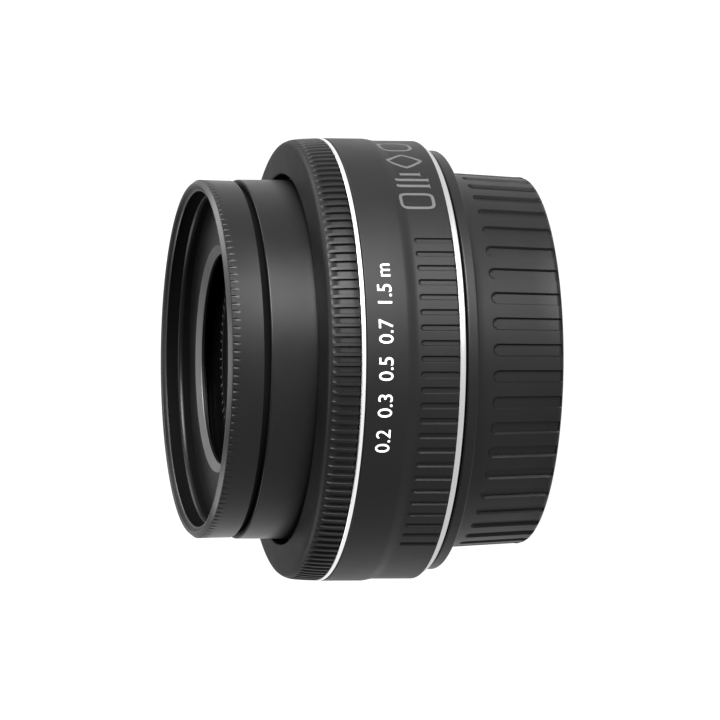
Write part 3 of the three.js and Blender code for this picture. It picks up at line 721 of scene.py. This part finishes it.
def name_ring():
    profile = [(9.8, 43), (26.2, 43), (26.2, NAME_TOP), (23.6, NAME_TOP), (23.4, 44.15), (22.6, 43.98),
               (22.4, NAME_FACE), (14.9, NAME_FACE), (14.85, 43.9), (14.7, 43.9),
               (14.65, NAME_FACE), (10.5, NAME_FACE), (10.3, 43.92), (9.85, 43.55), (9.8, 43.45)]
    piece = lathe("name_ring_plate", profile, FINISHES["satin_black"])
    settle(piece, "lens_unit", "satin_black", "name_ring")
    ticks = [block("tick", (0.8 if k % 3 else 1.4, 0.24, 0.02), (15.9, 0, NAME_FACE + 0.005),
                   FAINT_GREY, k * 360 / TICKS) for k in range(TICKS)]
    settle(join("name_ring_ticks", ticks), "lens_unit", "white_mark")


# ---------------------------------------------------------------- optics
def cap_curve(vertex, curvature, edge, count=16):
    """Points of a lens surface from the axis outwards; positive curvature bulges forwards."""
    points = []
    for r in steps(0, edge, edge / count):
        sag = abs(curvature) - math.sqrt(curvature ** 2 - r ** 2)
        points.append((r, vertex - math.copysign(sag, curvature)))
    return points


# Radius, rear vertex and curvature, front vertex and curvature, radius of the rear surface.
ELEMENTS = (
    (10.5, (41.4, 11), (42.6, 30), 8),
    (7.6, (36.3, -40), (39.2, 22), 7.6),
    (7.2, (30.2, 16), (31.2, -20), 7.2),
    (7.2, (26.8, -25), (30.1, 16), 7.2),
    (8.6, (24.5, -20), (25.65, -30), 8.6),
    (10.4, (20.6, -60), (23.9, 40), 10.4),
)


def lens_elements():
    for i, (edge, rear, front, rear_edge) in enumerate(ELEMENTS, 1):
        profile = cap_curve(*rear, rear_edge)
        if rear_edge < edge:
            profile.append((edge, profile[-1][1]))
        profile += cap_curve(*front, edge)[::-1]
        piece = lathe(f"glass_element_{i}", profile, FINISHES["coated_glass"], even(96))
        settle(piece, "lens_unit", "coated_glass", f"lens_element_{i}")


def cells():
    rings = (
        ("front_retaining_ring", "front_retainer",
         [(9.7, 41.2), (10.6, 41.2), (10.6, 42.6), (10.5, 42.7), (10.2, 42.7), (9.7, 42.3)]),
        ("front_cell_turned", "front_cell",
         [(6.9, 36.35), (13.6, 36.35), (13.6, 39.9), (18, 39.9), (18, 41), (13, 41), (13, 42.7),
          (10.7, 42.7), (10.7, 37.85), (7.8, 37.85), (7.8, 36.75), (6.9, 36.75)]),
        ("rear_retaining_ring", "rear_retainer",
         [(9.4, 20.1), (9.6, 19.8), (10.3, 19.8), (10.4, 19.9), (10.4, 21.3), (9.4, 21.3)]),
        ("rear_cell_turned", "rear_cell",
         [(10.6, 19.7), (10.7, 19.6), (12.4, 19.6), (12.6, 19.8), (12.6, 26.8), (9.9, 27.2),
          (9.9, 32.3), (18.2, 32.3), (18.2, 37.9), (17, 37.9), (17, 32.9), (7.4, 32.9),
          (7.4, 27.55), (6.7, 27.55), (6.7, 27.1), (8.75, 27.1), (8.75, 24.3), (10.6, 24.3)]),
    )
    for name, node, profile in rings:
        piece = lathe(name, profile, FINISHES["moulded_black"], even(144))
        if node == "rear_cell":
            boolean(piece, rod("motor_hole", 2.3, 30, 34, FINISHES["moulded_black"], polar(12.9, 40)))
            piece.data.set_sharp_from_angle(angle=math.radians(32))
        settle(piece, "lens_unit", "moulded_black", node)


# ---------------------------------------------------------------- printed marks
def printed(name, words, size, r, z, turn, material):
    """Text wrapped round the barrel, turn degrees from -Y towards +X, its tops to the front."""
    curve = bpy.data.curves.new(name, "FONT")
    curve.body = words
    curve.size = size * MM
    curve.align_x = "CENTER"
    curve.extrude = 0.012 * MM
    curve.resolution_u = 4
    flat = bpy.data.objects.new("flat", curve)
    bpy.context.collection.objects.link(flat)
    bpy.context.view_layer.update()
    mesh = bpy.data.meshes.new_from_object(flat)
    bpy.data.objects.remove(flat)
    middle = math.radians(-90 + turn)
    for vertex in mesh.vertices:
        x, y, lift = vertex.co
        reach = r * MM + lift
        angle = middle + x / (r * MM)
        vertex.co = (reach * math.cos(angle), reach * math.sin(angle), z * MM + y)
    mesh.materials.clear()
    piece = finish_mesh(name, mesh, material)
    settle(piece, "barrel", "white_mark")


def stroke(name, path, width, z, turn, material, closed=True):
    """A printed line of even width on the barrel. Its path is in millimetres, (round, along)."""
    middle = math.radians(-90 + turn)
    count = len(path)
    points = [Vector(p) for p in path]
    vertices = []
    for i, here in enumerate(points):
        before = points[i - 1] if closed or i else here
        after = points[(i + 1) % count] if closed or i < count - 1 else here
        first, last = here - before, after - here
        first, last = (first or last).normalized(), (last or first).normalized()
        side = Vector((-first.y - last.y, first.x + last.x)).normalized()
        side *= width / 2 / max(0.5, side.dot(Vector((-first.y, first.x))))
        for point in (here + side, here - side):
            for lift in (-0.02, 0.015):
                r = shell_radius(z + point.y) + lift
                angle = middle + point.x / GRIP_RADIUS
                vertices.append((r * math.cos(angle) * MM, r * math.sin(angle) * MM,
                                 (z + point.y) * MM))
    faces = []
    for i in range(count if closed else count - 1):
        a, b = i * 4, (i + 1) % count * 4
        faces += [(a, a + 1, b + 1, b), (a + 1, a + 3, b + 3, b + 1), (a + 3, a + 2, b + 2, b + 3),
                  (a + 2, a, b, b + 2)]
    if not closed:
        end = (count - 1) * 4
        faces += [(0, 2, 3, 1), (end, end + 1, end + 3, end + 2)]
    mesh = bpy.data.meshes.new(name)
    mesh.from_pydata(vertices, [], faces)
    close_poles(mesh)
    return finish_mesh(name, mesh, material)


def oval(half_wide, half_high, power=2.0, count=48):
    """Points round an oval; a higher power squares it."""
    def bent(value):
        return math.copysign(abs(value) ** (2 / power), value)
    turns = [2 * math.pi * i / count for i in range(count)]
    return [(half_wide * bent(math.cos(t)), half_high * bent(math.sin(t))) for t in turns]


def markings():
    printed("distance_scale", "0.2  0.3  0.5  0.7  1.5 m", 3.15, BARREL_RADIUS + 0.005, 27.6, 0.5,
            PRINT_WHITE)
    marks = [stroke("slot_mark", oval(1.5, 2.5, 5), 0.5, 21.7, 45.3, PRINT_GREY)]
    for turn, half in ((51.2, 2.6), (53.8, 2.6), (56.4, 1.6)):
        line = [(0, y) for y in steps(-half, half, 0.2)]
        marks.append(stroke("bar_mark", line, 0.6, 21.7, turn, PRINT_GREY, False))
    marks.append(stroke("diamond_mark", oval(2.2, 2.6, 1.15), 0.5, 21.8, 63.6, PRINT_GREY))
    marks.append(stroke("round_mark", oval(2.2, 2.4, 3), 0.5, 22, 74.6, PRINT_GREY))
    settle(join("rear_marks", marks), "barrel", "white_mark")


# ---------------------------------------------------------------- hidden CAD nodes
def carry_over():
    """Gives every CAD node that still shows its finish from the record's slots."""
    slots = {part["node"]: part["material_slot"] for part in frame["record"]["subparts"]}
    for name, node in frame["nodes"].items():
        for place in node.material_slots:
            place.link = "OBJECT"
            place.material = FINISHES[slots[name]]


# ---------------------------------------------------------------- studio
AXIS_HEIGHT = 25.25                # where the camera's axis crosses the lens's axis
CAMERA_DISTANCE = 1157.2
CAMERA_ROLL = 0.2                  # degrees, the front of the lens up
CAMERA_DROP = 0.07                 # millimetres below the axis, as the picture sees it
CAMERA_ELEVATION = 12.38
CAMERA_FOCAL = 375.0


def camera():
    data = bpy.data.cameras.new("camera")
    data.lens = CAMERA_FOCAL
    data.sensor_width = 36
    data.clip_start, data.clip_end = 0.05, 20
    eye = bpy.data.objects.new("camera", data)
    bpy.context.collection.objects.link(eye)
    tilt, roll = math.radians(CAMERA_ELEVATION), math.radians(CAMERA_ROLL)
    back = Vector((0, -math.cos(tilt), math.sin(tilt)))
    level = Vector((1, 0, 0))
    ahead = back.cross(level)
    up = level * math.cos(roll) + ahead * math.sin(roll)
    right = up.cross(back)
    place = back * CAMERA_DISTANCE + Vector((-CAMERA_DROP, 0, AXIS_HEIGHT + FOOT))
    eye.matrix_world = Matrix.Translation(place * MM) @ (
        Matrix((right, up, back)).transposed().to_4x4())
    bpy.context.scene.camera = eye


def softbox(name, azimuth, elevation, distance, size, power):
    """An area light aimed at the lens. Azimuth is measured from the camera's side towards +X."""
    data = bpy.data.lights.new(name, "AREA")
    data.shape = "RECTANGLE"
    data.size, data.size_y = size
    data.energy = power
    light = bpy.data.objects.new(name, data)
    bpy.context.collection.objects.link(light)
    a, e = math.radians(azimuth), math.radians(elevation)
    way = Vector((math.sin(a) * math.cos(e), -math.cos(a) * math.cos(e), math.sin(e)))
    light.location = way * distance + Vector((0, 0, (AXIS_HEIGHT + FOOT) * MM))
    light.rotation_mode = "QUATERNION"
    light.rotation_quaternion = way.to_track_quat("Z", "Y")


def studio():
    scene = bpy.context.scene
    scene.view_settings.view_transform = "Standard"
    world = bpy.data.worlds.new("studio")
    world.use_nodes = True
    world.node_tree.nodes["Background"].inputs["Color"].default_value = (1, 1, 1, 1)
    world.node_tree.nodes["Background"].inputs["Strength"].default_value = 0.18
    scene.world = world
    made = Finish("floor", (0.05, 0.05, 0.05), 0.9)
    made.tint(made.noise(3.0), (0.04, 0.04, 0.04), (0.05, 0.05, 0.05))
    made.shader.inputs["Emission Color"].default_value = (1, 1, 1, 1)
    made.shader.inputs["Emission Strength"].default_value = 1.0
    mesh = bpy.data.meshes.new("floor")
    reach = 4.0
    mesh.from_pydata([(-reach, -reach, 0), (reach, -reach, 0), (reach, reach, 0), (-reach, reach, 0)],
                     [], [(0, 1, 2, 3)])
    mesh.materials.append(made.material)
    floor = bpy.data.objects.new("floor", mesh)
    bpy.context.collection.objects.link(floor)
    softbox("key", 41, 8, 1.2, (0.75, 0.7), 80)
    softbox("above", 0, 84, 1.2, (0.7, 0.7), 6)
    softbox("backdrop", 180, 18, 1.6, (2.2, 0.8), 2.2)
    softbox("side", 115, 35, 1.2, (0.8, 0.8), 10)
    softbox("fill", -110, 35, 1.4, (0.8, 0.8), 8)


rear_cap()
mount_plate()
mount_screws()
rear_baffle()
contacts()
barrel_cover()
mount_index()
trim_ring()
mode_switch()
focus_ring()
inner_barrel()
hood()
name_ring()
lens_elements()
cells()
markings()
carry_over()
camera()
studio()
